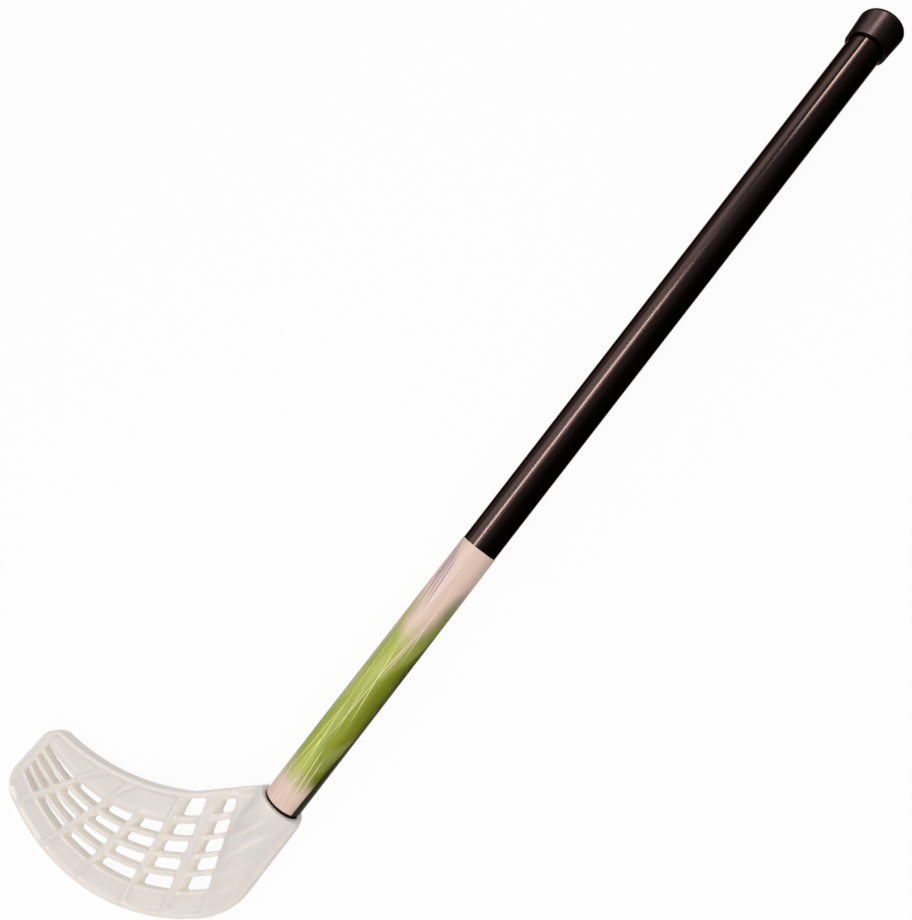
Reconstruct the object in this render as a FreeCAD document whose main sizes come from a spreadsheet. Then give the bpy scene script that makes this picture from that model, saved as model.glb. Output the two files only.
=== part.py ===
import FreeCAD, Part
import math
import operator
import os
import types
import Sketcher

# A floorball stick lying on the floor. The shaft runs along X with the cap at +X, the blade reaches to +Y,
# and the origin is on the shaft's axis in the middle of the bare grip. Every piece is drawn in the stick's
# own frame, which starts in the middle of the socket mouth, and all take the same placement at the end.

# Driving dimensions, in millimetres and degrees. A drop is measured down the shaft's axis from the socket
# mouth, a reach is measured square to that axis towards the toe, and a lean turns the top towards the toe.
SIZES = {
    # Shaft tube, with its wider lower end
    "tube_diameter": 28.0,
    "tube_wall": 2.0,
    "neck_diameter": 29.2,
    "neck_length": 70.0,
    "neck_taper": 160.0,
    "shaft_reach": 712.0,
    # Printed sleeve
    "film_thickness": 0.4,
    "film_length": 232.5,
    "film_gap": 1.7,
    "film_bond": 0.02,
    # Push-on cap
    "cap_length": 22.0,
    "cap_end_wall": 3.0,
    "cap_rim_diameter": 32.7,
    "cap_top_diameter": 35.8,
    "cap_rounding": 3.6,
    "cap_fit": 0.05,
    # Plug in the lower end of the tube
    "plug_length": 34.0,
    "plug_chamfer": 1.0,
    "plug_fit": 0.05,
    # Socket, and the nose that runs out of it into the blade
    "socket_diameter": 38.8,
    "socket_end_diameter": 33.6,
    "socket_depth": 40.0,
    "socket_floor": 3.0,
    "socket_fit": 0.05,
    "nose_waist_length": 19.0,
    "nose_waist_width": 29.0,
    "nose_waist_height": 22.0,
    "nose_waist_drift": 4.0,
    "nose_length": 42.0,
    "nose_end_width": 18.0,
    "nose_end_height": 13.0,
    "nose_end_drift": 6.0,
    # Outline of the blade
    "blade_thickness": 11.2,
    "edge_rounding": 2.2,
    "heel_overhang": 0.6,
    "heel_radius": 49.2,
    "sole_drop": 162.6,
    "sole_reach": 135.5,
    "rocker_radius": 189.4,
    "toe_low_reach": 197.2,
    "toe_low_rounding": 19.0,
    "toe_high_drop": 91.3,
    "toe_high_reach": 192.0,
    "toe_high_rounding": 18.0,
    "top_radius": 235.0,
    "crook_drop": 43.5,
    "crook_reach": 60.3,
    "crook_rounding": 40.0,
    "top_reach": 18.9,
    # Rim, bands and webs of the blade
    "rim_width": 3.6,
    "toe_band": 8.5,
    "web_thickness": 3.2,
    "web_lift": 3.1,
    "plate_reach": 36.6,
    "plate_lean": 22.2,
    "crook_band_drop": 50.0,
    "crook_band_reach": 61.4,
    "crook_band_lean": -48.7,
    # Long ribs: equal arcs, each a step below and behind the last, and the sole rib a little further
    "rib_height": 10.0,
    "rib_width": 3.1,
    "first_rib_width": 5.0,
    "rib_radius": 173.6,
    "rib_centre_rise": 66.6,
    "rib_centre_reach": 164.0,
    "rib_step_drop": 9.8,
    "rib_step_reach": 7.2,
    "sole_rib_lag": 1.1,
    # Cross bars, set out by their feet on a line below the sole
    "bar_height": 10.6,
    "bar_width": 6.2,
    "foot_drop": 168.0,
    "heel_bar_width": 8.6,
    "heel_bar_foot": 4.2,
    "heel_bar_lean": 15.0,
    "heel_flare_foot": 3.0,
    "heel_flare_lean": 16.8,
    "web_bar_foot": 45.3,
    "web_bar_lean": 8.5,
    "middle_bar_foot": 94.4,
    "middle_bar_lean": -8.0,
    "fourth_bar_foot": 134.9,
    "fourth_bar_lean": -19.0,
    "toe_bar_foot": 181.4,
    "toe_bar_lean": -32.0,
    # Screw that holds the blade on the shaft
    "screw_drop": 20.0,
    "screw_diameter": 4.0,
    "screw_length": 13.0,
    "screw_point": 3.0,
    "screw_fit": 0.05,
    "screw_seat_wall": 1.4,
    "screw_head_diameter": 7.6,
    "screw_head_height": 1.9,
    "screw_head_fit": 0.4,
    "recess_span": 4.4,
    "recess_width": 1.1,
    "recess_depth": 1.1,
}
RIB_COUNT = 5
BAR_NAMES = ("heel_bar", "heel_flare", "web_bar", "middle_bar", "fourth_bar", "toe_bar")
HEEL_NAMES = ("heel_bar", "heel_flare")

OPERATIONS = {
    "+": operator.add,
    "-": operator.sub,
    "*": operator.mul,
    "/": operator.truediv,
}
X_AXIS = FreeCAD.Vector(1, 0, 0)
Y_AXIS = FreeCAD.Vector(0, 1, 0)
Z_AXIS = FreeCAD.Vector(0, 0, 1)
DOWN_THE_SHAFT = FreeCAD.Rotation(Y_AXIS, -90)
ACROSS_THE_SHAFT = DOWN_THE_SHAFT * FreeCAD.Rotation(Z_AXIS, 90)
FIRST_INDEX = 1
LAST_INDEX = 2
CENTRE_INDEX = 3
ORIGIN_INDEX = (-1, 1)
H_AXIS_INDEX = -1
V_AXIS_INDEX = -2
HALF_TURN = 180
QUARTERS = 4
# Lengths closer together than this count as the same
CLOSE = 1e-3


class Size:
    """A length or an angle, together with the sheet expression that gives it."""

    def __init__(self, value, text):
        self.value = value
        self.text = text

    def __add__(self, other):
        return combine(self, "+", other)

    def __sub__(self, other):
        return combine(self, "-", other)

    def __mul__(self, other):
        return combine(self, "*", other)

    def __truediv__(self, other):
        return combine(self, "/", other)

    def __neg__(self):
        return combine(self, "*", -1)


def as_size(number):
    if isinstance(number, Size):
        return number
    return Size(float(number), "%g" % number)


def combine(left, sign, right):
    left = as_size(left)
    right = as_size(right)
    value = OPERATIONS[sign](left.value, right.value)
    return Size(value, "(%s %s %s)" % (left.text, sign, right.text))


def sine(angle):
    return Size(math.sin(math.radians(angle.value)), "sin(%s)" % angle.text)


def cosine(angle):
    return Size(math.cos(math.radians(angle.value)), "cos(%s)" % angle.text)


def arc_sine(ratio):
    return Size(math.degrees(math.asin(ratio.value)), "asin(%s)" % ratio.text)


def arc_tangent(ratio):
    return Size(math.degrees(math.atan(ratio.value)), "atan(%s)" % ratio.text)


def root(number):
    return Size(math.sqrt(number.value), "sqrt(%s)" % number.text)


NOTHING = Size(0.0, "0")

doc = FreeCAD.newDocument("floorball_stick")
sheet = doc.addObject("Spreadsheet::Sheet", "sizes")
for row, (name, value) in enumerate(SIZES.items(), start=1):
    sheet.set("A%d" % row, name)
    sheet.set("B%d" % row, str(value))
    sheet.setAlias("B%d" % row, name)
doc.recompute()
s = types.SimpleNamespace(**{name: Size(value, "sizes.%s" % name) for name, value in SIZES.items()})

# Sizes that several pieces share
tube_radius = s.tube_diameter / 2
neck_radius = s.neck_diameter / 2
socket_radius = s.socket_diameter / 2
bore_radius = neck_radius + s.socket_fit
film_end = s.film_gap + s.film_length
cap_end = s.shaft_reach + s.cap_end_wall
cap_rim = cap_end - s.cap_length
grip_middle = (film_end + cap_rim) / 2
screw_seat = bore_radius + s.screw_seat_wall
rocker_rise = s.rocker_radius - s.sole_drop
toe_side_reach = s.toe_low_reach - s.sole_reach
toe_low_rise = rocker_rise - root(s.rocker_radius * s.rocker_radius - toe_side_reach * toe_side_reach)
rest_roll = arc_sine((socket_radius - s.blade_thickness / 2) / s.toe_low_reach)


def bind(item, **sizes):
    """Ties properties of a document object to sizes."""
    for prop, value in sizes.items():
        item.setExpression(prop, as_size(value).text)


def put(item, x=NOTHING, y=NOTHING, z=NOTHING, turn=None, axis=Z_AXIS):
    """Places a document object, turned about an axis where an angle is given."""
    if turn is not None:
        item.Placement = FreeCAD.Placement(FreeCAD.Vector(), FreeCAD.Rotation(axis, turn.value))
        item.setExpression("Placement.Rotation.Angle", turn.text)
    for letter, value in (("x", x), ("y", y), ("z", z)):
        item.setExpression("Placement.Base.%s" % letter, as_size(value).text)


def trace(sketch, corners, bends=None):
    """Draws a closed outline in a sketch and ties every corner to its sizes.

    A bend is the radius of the arc from one corner to the next. It bulges to the left of the way round where
    its sign is positive, and to the right where it is negative.
    """
    bends = bends or {}
    points = [FreeCAD.Vector(x.value, y.value) for x, y in corners]
    ends = []
    for index, start in enumerate(points):
        finish = points[(index + 1) % len(points)]
        if index not in bends:
            edge = sketch.addGeometry(Part.LineSegment(start, finish))
            ends.append((edge, FIRST_INDEX, LAST_INDEX))
            continue
        radius, side = bends[index]
        chord = finish - start
        half = chord.Length / 2
        rise = radius.value - math.sqrt(radius.value ** 2 - half ** 2)
        left = FreeCAD.Vector(-chord.y, chord.x).normalize()
        edge = sketch.addGeometry(Part.Arc(start, start + chord / 2 + left * rise * side, finish))
        runs_on = sketch.getPoint(edge, FIRST_INDEX).isEqual(start, CLOSE)
        ends.append((edge, FIRST_INDEX, LAST_INDEX) if runs_on else (edge, LAST_INDEX, FIRST_INDEX))
        limit = sketch.addConstraint(Sketcher.Constraint("Radius", edge, radius.value))
        sketch.setExpression("Constraints[%d]" % limit, radius.text)
    for index, (edge, _, last) in enumerate(ends):
        following, following_first, _ = ends[(index + 1) % len(ends)]
        sketch.addConstraint(Sketcher.Constraint("Coincident", edge, last, following, following_first))
    for (edge, first, _), (x, y) in zip(ends, corners):
        for kind, coordinate, axis in (("DistanceX", x, V_AXIS_INDEX), ("DistanceY", y, H_AXIS_INDEX)):
            if coordinate is NOTHING:
                sketch.addConstraint(Sketcher.Constraint("PointOnObject", edge, first, axis))
                continue
            tie = Sketcher.Constraint(kind, *ORIGIN_INDEX, edge, first, coordinate.value)
            limit = sketch.addConstraint(tie)
            sketch.setExpression("Constraints[%d]" % limit, coordinate.text)


def body_sketch(body, name, role):
    """Starts a sketch on one of the body's own origin planes."""
    plane = next(item for item in body.Origin.OriginFeatures if item.Role == role)
    sketch = body.newObject("Sketcher::SketchObject", name)
    sketch.AttachmentSupport = [(plane, "")]
    sketch.MapMode = "FlatFace"
    return sketch


def turned_body(label, corners, axis="H_Axis"):
    """A body of revolution from a profile in the plane of the shaft and the floor's normal."""
    body = doc.addObject("PartDesign::Body", label)
    sketch = body_sketch(body, label + "_profile", "XZ_Plane")
    trace(sketch, corners)
    turning = body.newObject("PartDesign::Revolution", label + "_turning")
    turning.Profile = sketch
    turning.ReferenceAxis = (sketch, [axis])
    turning.Angle = 360
    body.Tip = turning
    return body, sketch


def screw_pilot(body, label):
    """Bores the screw's hole through the lower half of a body on the shaft's axis."""
    doc.recompute()
    whole = body.Shape.Volume
    sketch = body_sketch(body, label + "_pilot", "XY_Plane")
    middle = -s.screw_drop
    width = s.screw_diameter + s.screw_fit * 2
    circle = sketch.addGeometry(Part.Circle(FreeCAD.Vector(middle.value, 0), Z_AXIS, width.value / 2))
    sketch.addConstraint(Sketcher.Constraint("PointOnObject", circle, CENTRE_INDEX, H_AXIS_INDEX))
    ties = (
        (Sketcher.Constraint("DistanceX", *ORIGIN_INDEX, circle, CENTRE_INDEX, middle.value), middle),
        (Sketcher.Constraint("Diameter", circle, width.value), width),
    )
    for tie, value in ties:
        limit = sketch.addConstraint(tie)
        sketch.setExpression("Constraints[%d]" % limit, value.text)
    pocket = body.newObject("PartDesign::Pocket", label + "_pilot_bore")
    pocket.Profile = sketch
    pocket.Type = "ThroughAll"
    body.Tip = pocket
    doc.recompute()
    if body.Shape.Volume >= whole:
        raise RuntimeError("the screw's hole misses %s" % label)


def edge_names(shape, wanted):
    return ["Edge%d" % index for index, edge in enumerate(shape.Edges, start=1) if wanted(edge)]


def make_tube():
    """Black tube: plain over the grip, wider towards the socket, with an even wall."""
    foot = -s.socket_depth
    taper_end = s.neck_length + s.neck_taper
    body, _ = turned_body("shaft_tube", [
        (foot, neck_radius),
        (s.neck_length, neck_radius),
        (taper_end, tube_radius),
        (s.shaft_reach, tube_radius),
        (s.shaft_reach, tube_radius - s.tube_wall),
        (taper_end, tube_radius - s.tube_wall),
        (s.neck_length, neck_radius - s.tube_wall),
        (foot, neck_radius - s.tube_wall),
    ])
    screw_pilot(body, "shaft_tube")
    return body


def make_film():
    """Thin printed sleeve that follows the tube's outside."""
    inner_neck = neck_radius + s.film_bond
    inner_tube = tube_radius + s.film_bond
    taper_end = s.neck_length + s.neck_taper
    body, _ = turned_body("print_film", [
        (s.film_gap, inner_neck + s.film_thickness),
        (s.neck_length, inner_neck + s.film_thickness),
        (taper_end, inner_tube + s.film_thickness),
        (film_end, inner_tube + s.film_thickness),
        (film_end, inner_tube),
        (taper_end, inner_tube),
        (s.neck_length, inner_neck),
        (s.film_gap, inner_neck),
    ])
    return body


def make_cap():
    """Cup that is pushed over the tube's upper end, a little wider at its closed end."""
    mouth_radius = tube_radius + s.cap_fit
    rim_radius = s.cap_rim_diameter / 2
    top_radius = s.cap_top_diameter / 2
    body, _ = turned_body("end_cap", [
        (cap_rim, mouth_radius),
        (cap_rim, rim_radius),
        (cap_end, top_radius),
        (cap_end, NOTHING),
        (s.shaft_reach, NOTHING),
        (s.shaft_reach, mouth_radius),
    ])
    doc.recompute()
    turning = body.Tip
    top_edge = edge_names(turning.Shape, lambda edge: edge.BoundBox.XMin > cap_end.value - CLOSE
                          and abs(edge.BoundBox.ZMax - top_radius.value) < CLOSE)
    rounding = body.newObject("PartDesign::Fillet", "cap_top_rounding")
    rounding.Base = (turning, top_edge)
    bind(rounding, Radius=s.cap_rounding)
    body.Tip = rounding
    return body


def make_plug():
    """Plug in the tube's lower end, chamfered where it is driven in."""
    radius = neck_radius - s.tube_wall - s.plug_fit
    foot = -s.socket_depth
    head = foot + s.plug_length
    body, _ = turned_body("shaft_plug", [
        (foot, NOTHING),
        (foot, radius),
        (head - s.plug_chamfer, radius),
        (head, radius - s.plug_chamfer),
        (head, NOTHING),
    ])
    screw_pilot(body, "shaft_plug")
    return body


def make_screw():
    """Pan-head screw, driven from the floor side through the socket wall into the plug."""
    shank = s.screw_diameter / 2
    head = s.screw_head_diameter / 2
    body, profile = turned_body("blade_screw", [
        (NOTHING, -s.screw_head_height),
        (head, -s.screw_head_height),
        (head, NOTHING),
        (shank, NOTHING),
        (shank, s.screw_length - s.screw_point),
        (NOTHING, s.screw_length),
    ], axis="V_Axis")
    profile.setExpression("AttachmentOffset.Base.x", (-s.screw_drop).text)
    profile.setExpression("AttachmentOffset.Base.y", (-screw_seat).text)
    doc.recompute()
    whole = body.Shape.Volume
    half_span = s.recess_span / 2
    half_width = s.recess_width / 2
    cross = body_sketch(body, "driver_recess", "XY_Plane")
    arm = [(half_width, half_width), (half_width, half_span), (-half_width, half_span)]
    corners = []
    for _ in range(QUARTERS):
        corners += arm
        arm = [(-y, x) for x, y in arm]
    trace(cross, corners)
    cross.setExpression("AttachmentOffset.Base.x", (-s.screw_drop).text)
    cross.setExpression("AttachmentOffset.Base.z", (-(screw_seat + s.screw_head_height)).text)
    recess = body.newObject("PartDesign::Pocket", "driver_recess_cut")
    recess.Profile = cross
    recess.Reversed = True
    bind(recess, Length=s.recess_depth)
    body.Tip = recess
    doc.recompute()
    if body.Shape.Volume >= whole:
        raise RuntimeError("the driver recess misses the screw's head")
    return body


def solid(kind, name, **sizes):
    """A Part feature with its properties tied to sizes."""
    item = doc.addObject("Part::" + kind, name)
    bind(item, **sizes)
    return item


def cut(name, base, tool):
    item = doc.addObject("Part::Cut", name)
    item.Base = base
    item.Tool = tool
    return item


def common(name, base, tool):
    item = doc.addObject("Part::Common", name)
    item.Base = base
    item.Tool = tool
    return item


def fuse(name, pieces):
    item = doc.addObject("Part::MultiFuse", name)
    item.Shapes = pieces
    return item


def blade_outline():
    """Outline of the blade, from the heel side of the mouth round by the sole and the toe.

    The heel's arc runs on smoothly from the straight side of the socket and into the sole's arc.
    """
    sketch = doc.addObject("Sketcher::SketchObject", "blade_outline")
    heel_side = socket_radius + s.heel_overhang
    heel_middle = s.heel_radius - heel_side
    between = s.rocker_radius - s.heel_radius
    aside = s.sole_reach - heel_middle
    back = root(between * between - aside * aside)
    share = s.rocker_radius / between
    corners = [
        (NOTHING, -heel_side),
        (rocker_rise - back, -heel_side),
        (rocker_rise - back * share, s.sole_reach - aside * share),
        (toe_low_rise, s.toe_low_reach),
        (-s.toe_high_drop, s.toe_high_reach),
        (-s.crook_drop, s.crook_reach),
        (NOTHING, s.top_reach),
    ]
    trace(sketch, corners, {
        1: (s.heel_radius, 1),
        2: (s.rocker_radius, 1),
        4: (s.top_radius, -1),
    })
    return sketch


def extruded(name, profile, thickness):
    """Slab from a profile, half of it to each side of the shaft's axis."""
    item = doc.addObject("Part::Extrusion", name)
    item.Base = profile
    item.DirMode = "Normal"
    item.Solid = True
    item.Symmetric = True
    bind(item, LengthFwd=thickness)
    return item


def rounded_slab(slab):
    """Slab with its toe and crook rounded off, and then its rim."""
    doc.recompute()
    roundings = (
        (toe_low_rise, s.toe_low_reach, s.toe_low_rounding),
        (-s.toe_high_drop, s.toe_high_reach, s.toe_high_rounding),
        (-s.crook_drop, s.crook_reach, s.crook_rounding),
    )
    upright = []
    for rise, reach, rounding in roundings:
        spot = FreeCAD.Vector(rise.value, reach.value, 0)
        for index, edge in enumerate(slab.Shape.Edges, start=1):
            if edge.CenterOfMass.isEqual(spot, CLOSE):
                upright.append((index, rounding.value, rounding.value))
    cornered = doc.addObject("Part::Fillet", "rounded_toe")
    cornered.Base = slab
    cornered.Edges = upright
    doc.recompute()
    flat = []
    for index, edge in enumerate(cornered.Shape.Edges, start=1):
        on_mouth = edge.BoundBox.XMin > -CLOSE
        if edge.BoundBox.ZLength < CLOSE and not on_mouth:
            flat.append((index, s.edge_rounding.value, s.edge_rounding.value))
    rimmed = doc.addObject("Part::Fillet", "rounded_rim")
    rimmed.Base = cornered
    rimmed.Edges = flat
    return rimmed


def plate(name, thickness, drop, reach, lean, width, start=NOTHING, lift=NOTHING):
    """Upright bar or half plane: runs up from a foot point, leans, and is as wide as told to the toe side.

    A lift sets it nearer to the face of the blade that is away from the floor.
    """
    length = s.foot_drop + s.toe_low_reach
    item = solid("Box", name, Length=length, Width=width, Height=thickness)
    put(item, x=-drop - sine(lean) * start, y=reach + cosine(lean) * start, z=lift - thickness / 2,
        turn=lean)
    return item


def disc(name, radius, thickness, step, lift=NOTHING):
    """Round plate about the centre of one of the long ribs' arcs."""
    item = solid("Cylinder", name, Radius=radius, Height=thickness)
    put(item, x=s.rib_centre_rise - s.rib_step_drop * step, y=s.rib_centre_reach - s.rib_step_reach * step,
        z=lift - thickness / 2)
    return item


def make_lattice():
    """Everything that stands inside the blade's rim: ribs, bars, webs, two bands and the heel plate.

    The bands at the toe and the crook and the plate are as thick as the blade, so here they stand out
    well past its faces.
    """
    far = s.foot_drop + s.toe_low_reach
    full_height = s.blade_thickness * 3
    first_inner = s.rib_radius - s.first_rib_width
    inner_rib = s.rib_radius - s.rib_width
    pieces = []
    rib_step = root(s.rib_step_drop * s.rib_step_drop + s.rib_step_reach * s.rib_step_reach)
    sole_step = s.sole_rib_lag / rib_step + (RIB_COUNT - 1)
    steps = [as_size(step) for step in range(RIB_COUNT - 1)] + [sole_step]
    for index, step in enumerate(steps):
        outer = disc("rib_outside_%d" % index, s.rib_radius, s.rib_height, step)
        inner_radius = inner_rib if index else first_inner
        inner = disc("rib_inside_%d" % index, inner_radius, s.rib_height, step)
        pieces.append(cut("long_rib_%d" % index, outer, inner))
    for name in BAR_NAMES:
        foot = getattr(s, name + "_foot")
        lean = getattr(s, name + "_lean")
        width = s.heel_bar_width if name in HEEL_NAMES else s.bar_width
        bar = plate(name, s.bar_height, s.foot_drop, foot, lean, width, -width / 2)
        if name == "middle_bar":
            bar = cut("short_bar", bar, disc("above_first_rib", first_inner, s.bar_height, 0))
        pieces.append(bar)
    middle = first_inner + s.first_rib_width / 2
    top_side = disc("web_above_first_rib", middle, s.web_thickness, 0, s.web_lift)
    toe_side = plate("web_past_bar", s.web_thickness, s.foot_drop, s.web_bar_foot, s.web_bar_lean, far,
                     lift=s.web_lift)
    pieces.append(common("top_web", top_side, toe_side))
    sole_side = plate("web_under_all", s.web_thickness, s.foot_drop, -far / 2, NOTHING, far * 2,
                      lift=s.web_lift)
    middle = inner_rib + s.rib_width / 2
    inside = disc("web_not_above", middle, s.web_thickness, sole_step, s.web_lift)
    pieces.append(cut("sole_web", sole_side, inside))
    toe_lean = arc_tangent((s.toe_low_reach - s.toe_high_reach) / (toe_low_rise + s.toe_high_drop))
    toe = plate("toe_band", full_height, -toe_low_rise, s.toe_low_reach, toe_lean, far, -s.toe_band)
    pieces.append(toe)
    crook = plate("crook_band", full_height, s.crook_band_drop, s.crook_band_reach, s.crook_band_lean, far)
    pieces.append(crook)
    heel_plate = solid("Box", "heel_plate", Length=far, Width=far, Height=full_height)
    put(heel_plate, y=s.plate_reach, z=-full_height / 2, turn=s.plate_lean + HALF_TURN)
    pieces.append(heel_plate)
    return fuse("lattice", pieces)


def make_socket():
    """Tapering socket wall, and the nose that carries it on into the blade."""
    wall_length = s.socket_depth + s.socket_floor
    end_radius = s.socket_end_diameter / 2
    wall = solid("Cone", "socket_wall", Radius1=socket_radius, Radius2=end_radius, Height=wall_length)
    wall.Placement.Rotation = DOWN_THE_SHAFT
    start = solid("Circle", "nose_start", Radius=end_radius)
    waist_radius = s.nose_waist_width / 2
    waist = solid("Ellipse", "nose_waist", MajorRadius=waist_radius, MinorRadius=s.nose_waist_height / 2)
    end = solid("Ellipse", "nose_end", MajorRadius=s.nose_end_width / 2, MinorRadius=s.nose_end_height / 2)
    sections = (
        (start, wall_length, NOTHING),
        (waist, wall_length + s.nose_waist_length, s.nose_waist_drift),
        (end, wall_length + s.nose_length, s.nose_end_drift),
    )
    for ring, drop, drift in sections:
        ring.Placement.Rotation = ACROSS_THE_SHAFT
        put(ring, x=-drop, y=-drift)
    nose = doc.addObject("Part::Loft", "nose")
    nose.Sections = [ring for ring, _, _ in sections]
    nose.Solid = True
    return [wall, nose]


def make_blade():
    """Blade with its socket: one moulding."""
    outline = blade_outline()
    slab = rounded_slab(extruded("blade_slab", outline, s.blade_thickness))
    inset = doc.addObject("Part::Offset2D", "rim_inside")
    inset.Source = outline
    inset.Mode = "Pipe"
    inset.Join = "Arc"
    bind(inset, Value=-s.rim_width)
    windows = cut("windows", extruded("field", inset, s.blade_thickness * 2), make_lattice())
    lattice_blade = cut("lattice_blade", slab, windows)
    whole = fuse("blade_without_bores", [lattice_blade] + make_socket())
    bore = solid("Cylinder", "socket_bore", Radius=bore_radius, Height=s.socket_depth)
    bore.Placement.Rotation = DOWN_THE_SHAFT
    hole_radius = s.screw_diameter / 2 + s.screw_fit
    hole = solid("Cylinder", "screw_hole", Radius=hole_radius, Height=socket_radius)
    put(hole, x=-s.screw_drop, z=-socket_radius)
    seat_radius = s.screw_head_diameter / 2 + s.screw_head_fit
    seat = solid("Cylinder", "screw_seat", Radius=seat_radius, Height=socket_radius)
    put(seat, x=-s.screw_drop, z=-screw_seat - socket_radius)
    blade = cut("blade", whole, fuse("bores", [bore, hole, seat]))
    blade.Refine = True
    return blade


pieces = [make_tube(), make_film(), make_cap(), make_plug(), make_screw(), make_blade()]
for piece in pieces:
    put(piece, x=-grip_middle, turn=-rest_roll, axis=X_AXIS)
doc.recompute()

for item in doc.Objects:
    if "Invalid" in item.State or "Error" in item.State:
        raise RuntimeError("%s did not build" % item.Label)
for piece in pieces:
    if piece.Shape.isNull() or not piece.Shape.isValid() or len(piece.Shape.Solids) != 1:
        raise RuntimeError("%s is not one sound solid" % piece.Label)

os.makedirs("parts", exist_ok=True)
for piece in pieces:
    piece.Shape.exportStep("parts/%s.step" % piece.Label)
    box = piece.Shape.BoundBox
    print("%s: %.0f cubic mm, %.1f x %.1f x %.1f mm" % (
        piece.Label, piece.Shape.Volume, box.XLength, box.YLength, box.ZLength))
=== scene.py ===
import math

import bmesh
import bpy
import numpy as np
from mathutils import Matrix, Vector
from mathutils.bvhtree import BVHTree


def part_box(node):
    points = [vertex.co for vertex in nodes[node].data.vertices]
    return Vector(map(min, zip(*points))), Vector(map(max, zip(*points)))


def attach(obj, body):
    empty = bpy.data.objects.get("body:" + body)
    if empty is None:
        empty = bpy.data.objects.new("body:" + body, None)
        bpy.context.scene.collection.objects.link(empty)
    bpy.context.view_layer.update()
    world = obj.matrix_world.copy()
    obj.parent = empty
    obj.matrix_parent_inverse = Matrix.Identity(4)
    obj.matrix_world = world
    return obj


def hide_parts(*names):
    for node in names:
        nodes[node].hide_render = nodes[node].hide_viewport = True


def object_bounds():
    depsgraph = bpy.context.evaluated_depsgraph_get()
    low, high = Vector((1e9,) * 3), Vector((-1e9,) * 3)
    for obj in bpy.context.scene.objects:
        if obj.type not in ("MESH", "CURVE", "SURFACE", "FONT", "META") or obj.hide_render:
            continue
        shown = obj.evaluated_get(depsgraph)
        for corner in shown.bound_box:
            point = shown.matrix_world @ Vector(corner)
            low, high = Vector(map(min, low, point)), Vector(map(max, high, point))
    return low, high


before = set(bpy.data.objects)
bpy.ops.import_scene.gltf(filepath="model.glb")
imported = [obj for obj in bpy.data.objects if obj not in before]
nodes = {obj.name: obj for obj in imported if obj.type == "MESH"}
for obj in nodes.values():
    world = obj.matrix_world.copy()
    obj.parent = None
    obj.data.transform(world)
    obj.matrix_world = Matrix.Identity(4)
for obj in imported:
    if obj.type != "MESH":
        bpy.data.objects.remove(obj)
cad_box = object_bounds()

MM = 0.001

# The stick lies rolled about its own length, with its grip's middle at the origin
STICK_ROLL = math.radians(4.0128)
GRIP_MIDDLE = 463.6

# Ribs of the blade: arcs of one radius whose centres step towards the toe
RIB_RADIUS = 173.6
RIB_CENTRE = Vector((66.6, 164.0))
RIB_STEP = Vector((-9.8, -7.2))
SOLE_RIB = 4.0

# Edge of the solid plate at the heel, which crosses the shaft's line at a lean
PLATE_REACH = 36.6
PLATE_LEAN = math.radians(22.2)


def linear(red, green, blue):
    """A display colour, 0 to 255, as the shader's linear colour."""
    def channel(value):
        part = value / 255
        if part <= 0.04045:
            return part / 12.92
        return ((part + 0.055) / 1.055) ** 2.4
    return (channel(red), channel(green), channel(blue), 1.0)


WHITE = (1.0, 1.0, 1.0, 1.0)
BLACK = (0.0, 0.0, 0.0, 1.0)


# Shader building

def node(tree, kind, inputs=None, **settings):
    """A new node with its settings, and its inputs linked or set."""
    made = tree.nodes.new(kind)
    for name, value in settings.items():
        setattr(made, name, value)
    for name, value in (inputs or {}).items():
        if isinstance(value, bpy.types.NodeSocket):
            tree.links.new(value, made.inputs[name])
        else:
            made.inputs[name].default_value = value
    return made


def calc(tree, operation, first, second=0.0, clamp=False):
    """One step of arithmetic."""
    return node(tree, "ShaderNodeMath", {0: first, 1: second},
                operation=operation, use_clamp=clamp).outputs[0]


def stretch(tree, value, low, high, to_low=0.0, to_high=1.0, smooth=True):
    """Carries one range of values over to another, eased at both ends unless told otherwise."""
    kind = "SMOOTHSTEP" if smooth else "LINEAR"
    return node(tree, "ShaderNodeMapRange",
                {"Value": value, "From Min": low, "From Max": high,
                 "To Min": to_low, "To Max": to_high},
                interpolation_type=kind).outputs["Result"]


def blend(tree, factor, first, second):
    """Mix of two colours: the first at factor 0, the second at 1."""
    return node(tree, "ShaderNodeMix", {0: factor, 6: first, 7: second},
                data_type="RGBA").outputs[2]


def noise(tree, place, scale, detail=3.0, roughness=0.5):
    return node(tree, "ShaderNodeTexNoise",
                {"Vector": place, "Scale": scale, "Detail": detail,
                 "Roughness": roughness}).outputs["Fac"]


def object_place(tree):
    return node(tree, "ShaderNodeTexCoord").outputs["Object"]


def new_material(name):
    """A material with its node tree and its main shader."""
    material = bpy.data.materials.new(name)
    material.use_nodes = True
    tree = material.node_tree
    shader = tree.nodes["Principled BSDF"]
    return material, tree, shader


def feed(tree, shader, **sockets):
    """Links or sets the shader's sockets, named with underscores for spaces."""
    for name, value in sockets.items():
        socket = shader.inputs[name.replace("_", " ")]
        if isinstance(value, bpy.types.NodeSocket):
            tree.links.new(value, socket)
        else:
            socket.default_value = value


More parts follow.
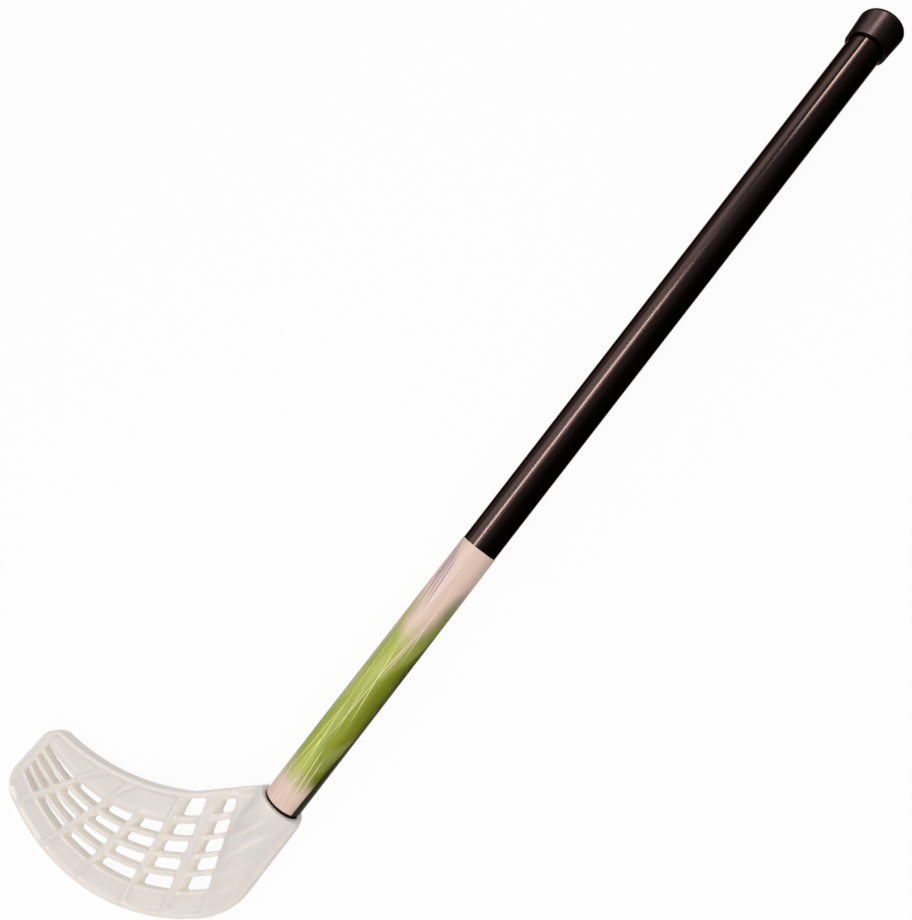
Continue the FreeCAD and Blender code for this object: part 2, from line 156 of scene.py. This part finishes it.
def moulded_grain_group():
    """Fine skin of moulded plastic: a height for bump and a slow mottle for tone."""
    group = bpy.data.node_groups.new("moulded_grain", "ShaderNodeTree")
    for name, kind in (("Place", "NodeSocketVector"), ("Grain", "NodeSocketFloat"),
                       ("Mottle", "NodeSocketFloat")):
        group.interface.new_socket(name=name, in_out="INPUT", socket_type=kind)
    for name in ("Height", "Tone"):
        group.interface.new_socket(name=name, in_out="OUTPUT",
                                   socket_type="NodeSocketFloat")
    start = node(group, "NodeGroupInput")
    fine = noise(group, start.outputs["Place"], start.outputs["Grain"], 2.0)
    slow = noise(group, start.outputs["Place"], start.outputs["Mottle"], 3.0)
    height = calc(group, "ADD", fine, calc(group, "MULTIPLY", slow, 0.6))
    node(group, "NodeGroupOutput", {"Height": height, "Tone": slow})
    return group


GRAIN = moulded_grain_group()


def grain(tree, grain_scale, mottle_scale):
    """Height and tone of the moulded skin."""
    skin = node(tree, "ShaderNodeGroup", node_tree=GRAIN)
    tree.links.new(object_place(tree), skin.inputs["Place"])
    skin.inputs["Grain"].default_value = grain_scale
    skin.inputs["Mottle"].default_value = mottle_scale
    return skin.outputs["Height"], skin.outputs["Tone"]


# Range that most of a noise texture keeps to
NOISE_LOW = 0.3
NOISE_HIGH = 0.7


def mottled(tree, tone, low, high):
    """A value that wanders between two limits with the skin's tone."""
    return stretch(tree, tone, NOISE_LOW, NOISE_HIGH, low, high)


def bump(tree, height, distance):
    """Fine relief as deep as the distance."""
    return node(tree, "ShaderNodeBump",
                {"Height": height, "Distance": distance, "Strength": 1.0}).outputs[0]


# Finishes

# Painted light on the thin walls of the blade's windows, as a paler colour and a faint glow: 1 on the
# walls of the windows
PAINTED_LIGHT_WALLS = "wall"


def blade_plastic():
    """White polyethylene, faintly pink, with painted light on the thin walls of its windows: a paler
    colour and a faint glow.
    """
    material, tree, shader = new_material("blade_white_plastic")
    height, tone = grain(tree, 900.0, 22.0)
    cool = linear(228, 221, 216)
    warm = linear(229, 221, 215)
    painted_wall_light = linear(255, 244, 236)
    colour = blend(tree, stretch(tree, tone, 0.35, 0.65), cool, warm)
    # Painted light: the window walls get a paler base colour and a faint glow
    wall = node(tree, "ShaderNodeAttribute", attribute_name=PAINTED_LIGHT_WALLS).outputs["Fac"]
    colour = blend(tree, wall, colour, painted_wall_light)
    painted_wall_glow = blend(tree, wall, BLACK, painted_wall_light)
    rough = mottled(tree, tone, 0.44, 0.54)
    feed(tree, shader, Base_Color=colour, Roughness=rough,
         Normal=bump(tree, height, 0.02 * MM),
         Subsurface_Weight=0.9, Subsurface_Radius=(1.0, 0.92, 0.86),
         Subsurface_Scale=4.0 * MM, Specular_IOR_Level=0.2,
         Emission_Color=painted_wall_glow, Emission_Strength=0.02)
    return material


def tube_lacquer():
    """Near-black brown lacquer with a metal sheen and faint lengthwise drawing marks."""
    material, tree, shader = new_material("tube_black_lacquer")
    place = object_place(tree)
    along = node(tree, "ShaderNodeMapping", {"Vector": place, "Scale": (6.0, 700.0, 700.0)})
    drawn = noise(tree, along.outputs[0], 1.0, 2.0)
    tone = grain(tree, 1200.0, 30.0)[1]
    deep = linear(40, 31, 29)
    brown = linear(48, 38, 36)
    colour = blend(tree, tone, deep, brown)
    rough = mottled(tree, drawn, 0.15, 0.19)
    feed(tree, shader, Base_Color=colour, Metallic=1.0, Roughness=rough,
         Specular_Tint=linear(166, 163, 162))
    return material


# Fine streaks of the film: slant, place round the shaft, half width, first and last place along
LIME_STREAKS = (
    (0.42, -0.16, 0.009, 0.01, 0.26),
    (0.38, -0.24, 0.007, 0.05, 0.22),
    (0.42, -0.05, 0.008, 0.10, 0.46),
    (-0.30, 0.22, 0.009, 0.06, 0.40),
    (-0.34, 0.14, 0.006, 0.10, 0.30),
    (-0.22, 0.05, 0.007, 0.22, 0.60),
    (0.55, -0.33, 0.009, 0.30, 0.66),
    (0.48, -0.20, 0.006, 0.26, 0.50),
    (0.25, 0.02, 0.006, 0.38, 0.72),
    (-0.45, 0.18, 0.008, 0.48, 0.78),
    (0.35, -0.42, 0.007, 0.55, 0.90),
)
LILAC_STREAKS = (
    (0.50, -0.34, 0.022, 0.72, 0.97),
    (0.42, -0.21, 0.014, 0.78, 0.99),
    (0.58, -0.27, 0.009, 0.68, 0.93),
    (0.30, -0.05, 0.018, 0.82, 0.99),
    (0.36, 0.03, 0.010, 0.76, 0.97),
    (0.46, -0.15, 0.040, 0.80, 1.05),
    (0.62, -0.38, 0.012, 0.74, 1.02),
    (0.26, -0.02, 0.008, 0.70, 0.94),
)
PALE_STREAKS = (
    (-0.34, 0.10, 0.016, 0.52, 0.80),
    (-0.26, 0.02, 0.010, 0.56, 0.86),
    (-0.42, 0.12, 0.008, 0.48, 0.74),
)
BLUSH_STREAKS = (
    (0.90, 0.10, 0.016, -0.06, 0.16),
    (0.75, -0.08, 0.010, -0.05, 0.14),
    (-0.80, 0.06, 0.012, -0.06, 0.15),
    (0.40, -0.28, 0.014, 0.70, 1.05),
    (0.30, -0.38, 0.010, 0.66, 1.02),
    (-0.36, 0.30, 0.012, 0.68, 1.00),
)
# Share of a streak's width in full colour, and of its length over which each end fades
STREAK_CORE = 0.4
STREAK_TAPER = 0.35


def streak_mask(tree, turn, along, slant, offset, width, first, last):
    """One thin line that winds with the shaft and tapers off at both ends."""
    line = calc(tree, "SUBTRACT", turn, calc(tree, "MULTIPLY", along, slant))
    off = calc(tree, "PINGPONG", calc(tree, "SUBTRACT", line, offset), 0.5)
    core = stretch(tree, off, width, width * STREAK_CORE)
    taper = (last - first) * STREAK_TAPER
    start = stretch(tree, along, first, first + taper)
    end = stretch(tree, along, last, last - taper)
    return calc(tree, "MULTIPLY", core, calc(tree, "MULTIPLY", start, end))


def film_print():
    """Printed film: airbrushed lime that fades to pinkish white at both ends, with fine streaks."""
    material, tree, shader = new_material("film_lime_print")
    low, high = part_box("print_film")
    place = object_place(tree)
    parts = node(tree, "ShaderNodeSeparateXYZ", {0: place})
    along = stretch(tree, parts.outputs[0], low.x, high.x, smooth=False)
    side = calc(tree, "DIVIDE", parts.outputs[1], high.z)
    turn = calc(tree, "DIVIDE",
                calc(tree, "ARCTAN2", parts.outputs[1], parts.outputs[2]), math.pi)
    drift = calc(tree, "SUBTRACT", noise(tree, place, 30.0, 2.0), 0.5)
    pale = linear(230, 201, 186)
    lime = linear(174, 182, 62)
    leaf = linear(160, 174, 76)
    olive = linear(116, 122, 24)
    olive_and_painted_shade = linear(62, 66, 18)
    straw = linear(214, 214, 140)
    lilac = linear(186, 158, 168)
    moss = linear(128, 146, 36)
    dark_band_colour = linear(46, 46, 24)
    cream = linear(236, 234, 178)
    blush = linear(240, 214, 201)
    pale_in_painted_shade = linear(198, 174, 162)

    # Lime on the crown, leaf green on one flank and olive on the other, going dark at that flank's edge:
    # partly print, partly painted shade
    shaded = calc(tree, "ADD", side, calc(tree, "MULTIPLY", drift, 0.5))
    colour = blend(tree, stretch(tree, shaded, 0.25, 0.75), lime, leaf)
    colour = blend(tree, stretch(tree, shaded, -0.05, -0.75), colour, olive)
    # Painted shade, with the olive print: the far edge of the olive flank darkens
    colour = blend(tree, stretch(tree, shaded, -0.7, -1.0), colour, olive_and_painted_shade)
    winding = calc(tree, "ADD", calc(tree, "MULTIPLY", along, 2.3),
                   calc(tree, "ADD", turn, calc(tree, "MULTIPLY", drift, 0.5)))
    wave = calc(tree, "SINE", calc(tree, "MULTIPLY", winding, 2 * math.pi))
    colour = blend(tree, stretch(tree, wave, 0.2, 1.0, 0.0, 0.2), colour, straw)
    stroked = node(tree, "ShaderNodeMapping", {"Vector": place, "Scale": (14.0, 90.0, 90.0)})
    stroke = noise(tree, stroked.outputs[0], 1.0, 4.0, 0.6)
    colour = blend(tree, stretch(tree, stroke, 0.5, 0.75, 0.0, 0.6), colour, moss)

    # Both ends and one flank fade to the film's pale ground, which is painted darker towards the other
    # flank as shade
    ragged = calc(tree, "ADD", along, calc(tree, "MULTIPLY", drift, 0.16))
    lower = stretch(tree, ragged, 0.14, 0.07)
    flank = calc(tree, "MULTIPLY", calc(tree, "MULTIPLY", side, side), 0.14)
    upper = stretch(tree, calc(tree, "SUBTRACT", ragged, flank), 0.60, 0.76)
    haze = stretch(tree, shaded, 0.5, 1.1, 0.0, 0.6)
    haze = calc(tree, "MULTIPLY", haze, stretch(tree, along, 0.3, 0.5))
    bare = calc(tree, "MAXIMUM", calc(tree, "MAXIMUM", lower, upper), haze)
    # Painted shade: the pale ground darkens towards the olive flank
    ground = blend(tree, stretch(tree, side, -0.5, -1.0), pale, pale_in_painted_shade)
    colour = blend(tree, bare, colour, ground)
    for streaks, tint in ((LIME_STREAKS, cream), (PALE_STREAKS, pale),
                          (LILAC_STREAKS, lilac), (BLUSH_STREAKS, blush)):
        for streak in streaks:
            colour = blend(tree, streak_mask(tree, turn, along, *streak), colour, tint)

    # A dark band low on one flank, widest at the mouth
    band_start = stretch(tree, along, 0.0, 0.4, -0.31, -0.42)
    past_start = calc(tree, "SUBTRACT", band_start, turn)
    dark_band = calc(tree, "MULTIPLY", stretch(tree, past_start, -0.012, 0.022),
                stretch(tree, turn, -0.58, -0.56))
    dark_band = calc(tree, "MULTIPLY", dark_band, stretch(tree, along, 0.75, 0.55))
    colour = blend(tree, dark_band, colour, dark_band_colour)

    height, tone = grain(tree, 700.0, 40.0)
    feed(tree, shader, Base_Color=colour,
         Roughness=mottled(tree, tone, 0.38, 0.46),
         Normal=bump(tree, height, 0.002 * MM), Specular_IOR_Level=0.08)
    return material


def cap_satin():
    """Black satin cap with a fine moulded skin."""
    material, tree, shader = new_material("cap_black_satin")
    height, tone = grain(tree, 1600.0, 60.0)
    colour = blend(tree, tone, linear(40, 32, 31), linear(48, 39, 38))
    feed(tree, shader, Base_Color=colour, Metallic=1.0,
         Roughness=mottled(tree, tone, 0.30, 0.38),
         Normal=bump(tree, height, 0.002 * MM), Specular_Tint=linear(160, 156, 155))
    return material


def plug_plastic():
    """Grey moulded plastic, out of sight in the tube."""
    material, tree, shader = new_material("plug_grey_plastic")
    height, tone = grain(tree, 1000.0, 50.0)
    colour = blend(tree, tone, linear(96, 96, 98), linear(112, 112, 113))
    feed(tree, shader, Base_Color=colour, Roughness=mottled(tree, tone, 0.45, 0.55),
         Normal=bump(tree, height, 0.01 * MM))
    return material


def screw_steel():
    """Zinc-plated steel with fine turning marks."""
    material, tree, shader = new_material("screw_zinc_steel")
    height, tone = grain(tree, 2600.0, 260.0)
    colour = blend(tree, tone, linear(176, 180, 184), linear(204, 206, 206))
    feed(tree, shader, Base_Color=colour, Metallic=1.0,
         Roughness=mottled(tree, tone, 0.24, 0.4),
         Normal=bump(tree, height, 0.004 * MM))
    return material


def dress(piece, material):
    """Gives the piece one finish."""
    piece.data.materials.clear()
    piece.data.materials.append(material)


# Blade moulding

TO_STICK = Matrix.Rotation(STICK_ROLL, 4, "X") @ Matrix.Translation((GRIP_MIDDLE * MM, 0, 0))
VOXEL = 0.9 * MM
EDGE_PASSES = 5

# Each pair of numbers below is where a change begins and where it is in full. Sizes are in
# millimetres: along is up the shaft from the mouth, across is towards the toe, up is off the floor

# The socket flows into the flat of the blade, down to where its nose has run out
FLOW_PASSES = 126
FLOW_ALONG = (-7, -18)
FLOW_ACROSS = (-16, -9)
FLOW_PAST_PLATE = (6, 0)
FLOW_RIBS = (SOLE_RIB, SOLE_RIB - 0.4)
FLOW_FACING = (0.25, 0.6)
BESIDE_LIP = (18.8, 20.5)
BELOW_LIP = (-1, -4)
NOSE_OUT = (-92, -108)

# Crease between the socket's side and the heel's edge
CREASE_PASSES = 24
CREASE_ALONG = (-3, -12)
CREASE_OUTSIDE = (-19.6, -18.4)
CREASE_INSIDE = (-13, -8)

# Flutes on the socket, a little sunk between their crests
FLUTE_DEPTH = 0.55
FLUTE_SINK = 1.1
FLUTE_ALONG = (-4, -16)
FLUTE_ACROSS = (-19, -10)
FLUTE_PAST_PLATE = (2, -14)
FLUTE_RIBS = (SOLE_RIB + 0.5, SOLE_RIB + 0.1)
FLUTE_FACING = (0.3, 0.7)

# Panels lie at this height in the blade, and are set a little lower to show its bars
PANEL_HEIGHT = 4.7
PANEL_DROP = 0.6
PANEL_SPREAD = (0.15, 0.6)
PANEL_FACING = (0.7, 0.9)

# Cross bars from heel to toe: foot on a line below the sole, lean, and width
FOOT_DROP = 168.0
BARS = (
    (4.2, math.radians(15.0), 8.6),
    (45.3, math.radians(8.5), 6.2),
    (94.4, math.radians(-8.0), 6.2),
    (134.9, math.radians(-19.0), 6.2),
    (181.4, math.radians(-32.0), 6.2),
)
BAR_HEIGHT = 10.6
# Share of a bar's width that its sloping side takes, how far past it the ribs give way,
# and the ribs between which the bars slope
BAR_SLOPE = 0.45
SLOPE_FADE = 8.0
SLOPE_TOP_RIBS = (-1.5, -1.1)
SLOPE_SOLE_RIBS = (SOLE_RIB + 1.3, SOLE_RIB + 0.9)

# Lip of the mouth: radii of its bore, of the middle of its section and of its outside,
# how deep that middle lies in the mouth, and the most that the lip is pushed out from it, as a factor
BORE_RADIUS = 14.65
LIP_MIDDLE = 16.6
MOUTH_RADIUS = 19.3
LIP_DEPTH = 1.9
LIP_REACH = 1.8
# Least length to divide by
TINY = 1e-6

# The mouth is cut a little lower on the heel's side, and more so at its back
MOUTH_SLANT = 1.2
BACK_SLANT = 2.2
SLANT_START = 4.0
SLANT_SPAN = 23.0
SLANT_BACK = (4, -8)
SLANT_ALONG = (-24, -2)

# Walls of the windows stand upright, and no window is wider than the span
WALL_FACING = (0.3, 0.8)
WINDOW_SPAN = 46 * MM


def bake(piece):
    """Applies the piece's modifiers to its mesh."""
    view = bpy.context.evaluated_depsgraph_get()
    mesh = bpy.data.meshes.new_from_object(piece.evaluated_get(view))
    piece.modifiers.clear()
    old = piece.data
    piece.data = mesh
    bpy.data.meshes.remove(old)


def step(values, start, end):
    """Smooth step from 0 at start to 1 at end."""
    part = np.clip((values - start) / (end - start), 0, 1)
    return part * part * (3 - 2 * part)


def points_of(mesh):
    """Places of the mesh's corners, one row each."""
    flat = np.zeros(len(mesh.vertices) * 3)
    mesh.vertices.foreach_get("co", flat)
    return flat.reshape(-1, 3)


def normals_of(mesh):
    """Directions that the mesh's corners face, one row each."""
    flat = np.zeros(len(mesh.vertices) * 3)
    mesh.vertices.foreach_get("normal", flat)
    return flat.reshape(-1, 3)


def rib_count_at(along, across):
    """Which rib's arc passes through a point, as a running number."""
    from_x = along - RIB_CENTRE.x
    from_y = across - RIB_CENTRE.y
    shift = from_x * RIB_STEP.x + from_y * RIB_STEP.y
    length = RIB_STEP.length_squared
    short = shift ** 2 - length * (from_x ** 2 + from_y ** 2 - RIB_RADIUS ** 2)
    return (shift - np.sqrt(np.maximum(short, 0))) / length


def past_plate(along, across):
    """How far a point lies on the toe's side of the heel plate's edge."""
    return (across - PLATE_REACH) * math.cos(PLATE_LEAN) - along * math.sin(PLATE_LEAN)


def slope_bars(points):
    """Slopes the heel's side of each cross bar, which makes the bar narrower at its top."""
    along, across = points[:, 0], points[:, 1]
    number = rib_count_at(along, across)
    from_x = along - RIB_CENTRE.x - number * RIB_STEP.x
    from_y = across - RIB_CENTRE.y - number * RIB_STEP.y
    radius = np.hypot(from_x, from_y)
    rib_x = -from_y / radius
    rib_y = from_x / radius
    move = np.zeros(len(points))
    for foot, lean, width in BARS:
        to_toe = (across - foot) * math.cos(lean) - (along + FOOT_DROP) * math.sin(lean)
        side = width / 2
        share = np.interp(to_toe, (-side - SLOPE_FADE, -side, side), (0, 1, 0))
        move += BAR_SLOPE * width * share / (rib_y * math.cos(lean) - rib_x * math.sin(lean))
    move *= np.clip(points[:, 2] / BAR_HEIGHT + 0.5, 0, 1)
    move *= step(number, *SLOPE_TOP_RIBS) * step(number, *SLOPE_SOLE_RIBS)
    points[:, 0] += move * rib_x
    points[:, 1] += move * rib_y


def window_walls(mesh):
    """1 on upright walls that look at another wall of the blade close by, and 0 elsewhere."""
    points = points_of(mesh)
    normals = normals_of(mesh)
    upright = 1 - step(np.abs(normals[:, 2]), *WALL_FACING)
    solid = BVHTree.FromPolygons(points.tolist(), [face.vertices[:] for face in mesh.polygons])
    for index in np.nonzero(upright)[0]:
        outward = Vector((normals[index, 0], normals[index, 1], 0)).normalized()
        start = Vector(points[index]) + outward * VOXEL
        if solid.ray_cast(start, outward, WINDOW_SPAN)[0] is None:
            upright[index] = 0
    return upright


def sharpen_mouth(points):
    """Brings the softened lip of the mouth back out to the bore and to the mouth's flat ring."""
    round_axis = np.hypot(points[:, 1], points[:, 2])
    past = round_axis - LIP_MIDDLE
    above = points[:, 0] + LIP_DEPTH
    free = points[:, 1] < 0
    near = (above > 0) & (free | (past < LIP_DEPTH)) & (round_axis > BORE_RADIUS - 1)
    to_bore = (LIP_MIDDLE - BORE_RADIUS) / np.maximum(-past, TINY)
    to_outside = (MOUTH_RADIUS - LIP_MIDDLE) / np.maximum(past, TINY)
    to_ring = LIP_DEPTH / np.maximum(above, TINY)
    grow = np.minimum(to_bore, to_ring)
    grow = np.where(free, np.minimum(grow, to_outside), grow)
    grow = np.where(near & (grow < LIP_REACH), grow, 1)
    wide = (LIP_MIDDLE + past * grow) / np.maximum(round_axis, TINY)
    points[:, 0] = above * grow - LIP_DEPTH
    points[:, 1] *= np.where(grow == 1, 1, wide)
    points[:, 2] *= np.where(grow == 1, 1, wide)


def smooth_where(piece, name, weights, passes):
    """Softens the piece where the weights say so."""
    group = piece.vertex_groups.new(name=name)
    for index in np.nonzero(weights > 0.01)[0]:
        group.add([int(index)], float(weights[index]), "REPLACE")
    soften = piece.modifiers.new(name, "SMOOTH")
    soften.factor = 0.5
    soften.iterations = passes
    soften.vertex_group = name
    bake(piece)


def flow_socket(piece):
    """Lets the socket flow softly into the flat of the blade."""
    points = points_of(piece.data) / MM
    along, across = points[:, 0], points[:, 1]
    round_axis = np.hypot(across, points[:, 2])
    beside_lip = step(round_axis, *BESIDE_LIP) * step(along, *BELOW_LIP)
    heel = np.maximum(step(along, *FLOW_ALONG), beside_lip) * (1 - step(along, *NOSE_OUT))
    heel *= step(across, *FLOW_ACROSS) * step(past_plate(along, across), *FLOW_PAST_PLATE)
    heel *= step(rib_count_at(along, across), *FLOW_RIBS)
    facing = np.abs(normals_of(piece.data)[:, 2])
    smooth_where(piece, "socket_flow", heel * step(facing, *FLOW_FACING), FLOW_PASSES)


def soften_crease(piece):
    """Softens the crease between the socket's side and the heel's edge."""
    points = points_of(piece.data) / MM
    along, across = points[:, 0], points[:, 1]
    crease = step(along, *CREASE_ALONG) * (1 - step(along, *NOSE_OUT))
    crease *= step(across, *CREASE_OUTSIDE) * (1 - step(across, *CREASE_INSIDE))
    smooth_where(piece, "heel_crease", crease, CREASE_PASSES)


def raise_flutes(points, normals):
    """Raises flutes that fan over the socket and run on into the ribs."""
    along, across = points[:, 0], points[:, 1]
    number = rib_count_at(along, across)
    crest = (0.5 + 0.5 * np.cos(2 * math.pi * number)) ** 2
    ridge = 2 * crest - FLUTE_SINK
    reach = step(along, *FLUTE_ALONG) * step(number, *FLUTE_RIBS)
    reach *= step(across, *FLUTE_ACROSS) * step(past_plate(along, across), *FLUTE_PAST_PLATE)
    lift = FLUTE_DEPTH * ridge * reach * step(np.abs(normals[:, 2]), *FLUTE_FACING)
    points += normals * lift[:, None]


def lower_panels(points, normals):
    """Sets the closed panels a little below the bars."""
    panel = 1 - step(np.abs(points[:, 2] - PANEL_HEIGHT), *PANEL_SPREAD)
    panel *= step(normals[:, 2], *PANEL_FACING)
    points[:, 2] -= PANEL_DROP * panel


def slant_mouth(points):
    """Cuts the mouth lower on the heel's side."""
    lower = np.clip((SLANT_START - points[:, 1]) / SLANT_SPAN, 0, 1) ** 2
    lower *= MOUTH_SLANT + BACK_SLANT * step(points[:, 2], *SLANT_BACK)
    points[:, 0] -= lower * step(points[:, 0], *SLANT_ALONG)


def blade_moulding():
    """The blade as one soft moulding, made from a copy of its solid."""
    mesh = nodes["blade"].data.copy()
    mesh.transform(TO_STICK)
    piece = bpy.data.objects.new("blade_moulding", mesh)
    bpy.context.scene.collection.objects.link(piece)
    shape = bmesh.new()
    shape.from_mesh(mesh)
    bmesh.ops.remove_doubles(shape, verts=shape.verts, dist=0.001 * MM)
    shape.to_mesh(mesh)
    shape.free()
    skin = piece.modifiers.new("skin", "REMESH")
    skin.mode = "VOXEL"
    skin.voxel_size = VOXEL
    skin.use_smooth_shade = True
    soften = piece.modifiers.new("soften", "SMOOTH")
    soften.factor = 0.5
    soften.iterations = EDGE_PASSES
    bake(piece)
    flow_socket(piece)
    soften_crease(piece)

    points = points_of(piece.data) / MM
    normals = normals_of(piece.data)
    raise_flutes(points, normals)
    lower_panels(points, normals)
    slope_bars(points)
    sharpen_mouth(points)
    slant_mouth(points)
    piece.data.vertices.foreach_set("co", (points * MM).ravel())
    wall = piece.data.attributes.new(PAINTED_LIGHT_WALLS, "FLOAT", "POINT")
    wall.data.foreach_set("value", window_walls(piece.data))
    piece.data.transform(TO_STICK.inverted())
    piece.data.update()
    return piece


# Stage

CAMERA_PLACE = Vector((-0.1890, -0.14424, 0.61470))
CAMERA_TILT = math.radians(17.99)
CAMERA_TURN = math.radians(-52.31)
CAMERA_LENS = 33.848


def set_camera():
    """Stands the camera where the photo was taken from."""
    data = bpy.data.cameras.new("photo_camera")
    data.lens = CAMERA_LENS
    data.sensor_width = 36.0
    camera = bpy.data.objects.new("photo_camera", data)
    bpy.context.scene.collection.objects.link(camera)
    camera.matrix_world = (Matrix.Translation(CAMERA_PLACE)
                           @ Matrix.Rotation(CAMERA_TILT, 4, "X")
                           @ Matrix.Rotation(CAMERA_TURN, 4, "Z"))
    bpy.context.scene.camera = camera


FLOOR_SIZE = 60.0
FLOOR_COLOUR = (0.9, 0.9, 0.9, 1.0)
FLOOR_GLOW = 0.94
FLOOR_HEIGHT = cad_box[0][2]
FLOOR_GAP = 0.1 * MM

# Black card that rises from the floor beside the stick, on the side away from the strip lamps
CARD_COLOUR = (0.04, 0.04, 0.04, 1.0)
CARD_EDGE = -0.03
CARD_LENGTH = 8.0
CARD_WIDTH = 2.5
CARD_RISE = math.radians(24.0)


def stage_piece(name, shape, material):
    """A piece of the stage in one finish, from a shape that is used up."""
    mesh = bpy.data.meshes.new(name)
    shape.to_mesh(mesh)
    shape.free()
    mesh.materials.append(material)
    piece = bpy.data.objects.new(name, mesh)
    bpy.context.scene.collection.objects.link(piece)
    return piece


def floor_finish():
    """Matte and pale to the lamps, and white to the eye and in gloss, with a share of the shadow kept."""
    material = bpy.data.materials.new("pale_floor")
    material.use_nodes = True
    tree = material.node_tree
    tree.nodes.clear()
    matte = node(tree, "ShaderNodeBsdfDiffuse", {"Color": FLOOR_COLOUR})
    light = node(tree, "ShaderNodeLightPath")
    glow = node(tree, "ShaderNodeEmission", {"Color": WHITE, "Strength": 1.0})
    seen = calc(tree, "ADD", light.outputs["Is Camera Ray"], light.outputs["Is Glossy Ray"])
    seen = calc(tree, "ADD", seen, light.outputs["Is Transmission Ray"], clamp=True)
    share = calc(tree, "MULTIPLY", seen, FLOOR_GLOW)
    mixed = node(tree, "ShaderNodeMixShader", {0: share, 1: matte.outputs[0], 2: glow.outputs[0]})
    node(tree, "ShaderNodeOutputMaterial", {"Surface": mixed.outputs[0]})
    return material


def lay_floor():
    """White floor that keeps the object's soft shadow."""
    shape = bmesh.new()
    bmesh.ops.create_grid(shape, x_segments=1, y_segments=1, size=FLOOR_SIZE)
    bmesh.ops.translate(shape, verts=shape.verts, vec=(0, 0, FLOOR_HEIGHT - FLOOR_GAP))
    floor = stage_piece("floor", shape, floor_finish())


def stand_card():
    """The card is seen only in the stick's gloss, and keeps the tube dark on that side."""
    shape = bmesh.new()
    bmesh.ops.create_grid(shape, x_segments=1, y_segments=1, size=0.5)
    bmesh.ops.scale(shape, verts=shape.verts, vec=(CARD_LENGTH, CARD_WIDTH, 1))
    bmesh.ops.translate(shape, verts=shape.verts, vec=(0, -CARD_WIDTH / 2, 0))
    bmesh.ops.rotate(shape, verts=shape.verts, matrix=Matrix.Rotation(-CARD_RISE, 3, "X"))
    bmesh.ops.translate(shape, verts=shape.verts, vec=(0, CARD_EDGE, FLOOR_HEIGHT))
    material, tree, shader = new_material("card_black")
    feed(tree, shader, Base_Color=CARD_COLOUR, Roughness=1.0, Specular_IOR_Level=0.0)
    card = stage_piece("card", shape, material)
    card.visible_camera = False
    card.visible_diffuse = False
    card.visible_transmission = False
    card.visible_shadow = False


def hang_lamp(name, place, target, size, power, diffuse=True, glossy=True):
    """A flat lamp that faces its target, with its length along the stick."""
    data = bpy.data.lights.new(name, "AREA")
    data.shape = "RECTANGLE"
    data.size, data.size_y = size
    data.energy = power
    lamp = bpy.data.objects.new(name, data)
    bpy.context.scene.collection.objects.link(lamp)
    lamp.visible_diffuse = diffuse
    lamp.visible_glossy = glossy
    away = (Vector(place) - Vector(target)).normalized()
    side = Vector((1, 0, 0))
    up = away.cross(side).normalized()
    side = up.cross(away)
    lamp.matrix_world = Matrix.Translation(place) @ Matrix((side, up, away)).transposed().to_4x4()


# Dome: where it turns from dark to bright, how dark and bright, and where the horizon's white ends
DOME_TURN = (-0.85, -0.2)
DOME_DARK = 0.06
DOME_BRIGHT = 0.45
HORIZON_RISE = (0.4, 0.18)

# Points that the lamps face
BLADE_MIDDLE = (-0.5, 0.05, 0)
PRINT_TOP = (-0.2, 0, 0)
BEYOND_CAP = (1.05, 0, 0)
GRIP = (0.1, 0, 0)


def set_world():
    """Dim dome, darker on the side away from the strip lamps, over a white horizon."""
    world = bpy.data.worlds.new("studio_dome")
    bpy.context.scene.world = world
    world.use_nodes = True
    tree = world.node_tree
    ground = tree.nodes["Background"]
    direction = node(tree, "ShaderNodeTexCoord").outputs["Generated"]
    parts = node(tree, "ShaderNodeSeparateXYZ", {0: direction})
    dome = stretch(tree, parts.outputs[1], *DOME_TURN, DOME_DARK, DOME_BRIGHT)
    horizon = stretch(tree, parts.outputs[2], *HORIZON_RISE)
    glow = calc(tree, "MULTIPLY", horizon, calc(tree, "SUBTRACT", 1.0, dome))
    tree.links.new(calc(tree, "ADD", dome, glow), ground.inputs["Strength"])
    ground.inputs["Color"].default_value = WHITE


set_camera()
lay_floor()
stand_card()
set_world()
hang_lamp("key", (-0.3, 0.28, 1.6), BLADE_MIDDLE, (3.0, 1.6), 9.8, glossy=False)
hang_lamp("fill", (-0.6, -0.9, 1.4), BLADE_MIDDLE, (1.6, 1.4), 7.8, glossy=False)
hang_lamp("far_fill", (-1.3, -0.7, 1.0), BLADE_MIDDLE, (0.9, 0.9), 2.6, glossy=False)
hang_lamp("long_strip", (-0.2, 0.48, 1.2), PRINT_TOP, (1.2, 0.42), 95.0, diffuse=False)
hang_lamp("end_strip", (1.05, 0.33, 1.2), BEYOND_CAP, (0.4, 0.3), 16.5, diffuse=False)
hang_lamp("softbox", (0.1, 1.1, 0.8), GRIP, (2.4, 0.7), 18.0, diffuse=False)

blade = blade_moulding()
dress(blade, blade_plastic())
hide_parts("blade")
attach(blade, "stick")
dress(nodes["shaft_tube"], tube_lacquer())
dress(nodes["print_film"], film_print())
dress(nodes["end_cap"], cap_satin())
dress(nodes["shaft_plug"], plug_plastic())
dress(nodes["blade_screw"], screw_steel())

bpy.context.scene.view_settings.view_transform = "Standard"
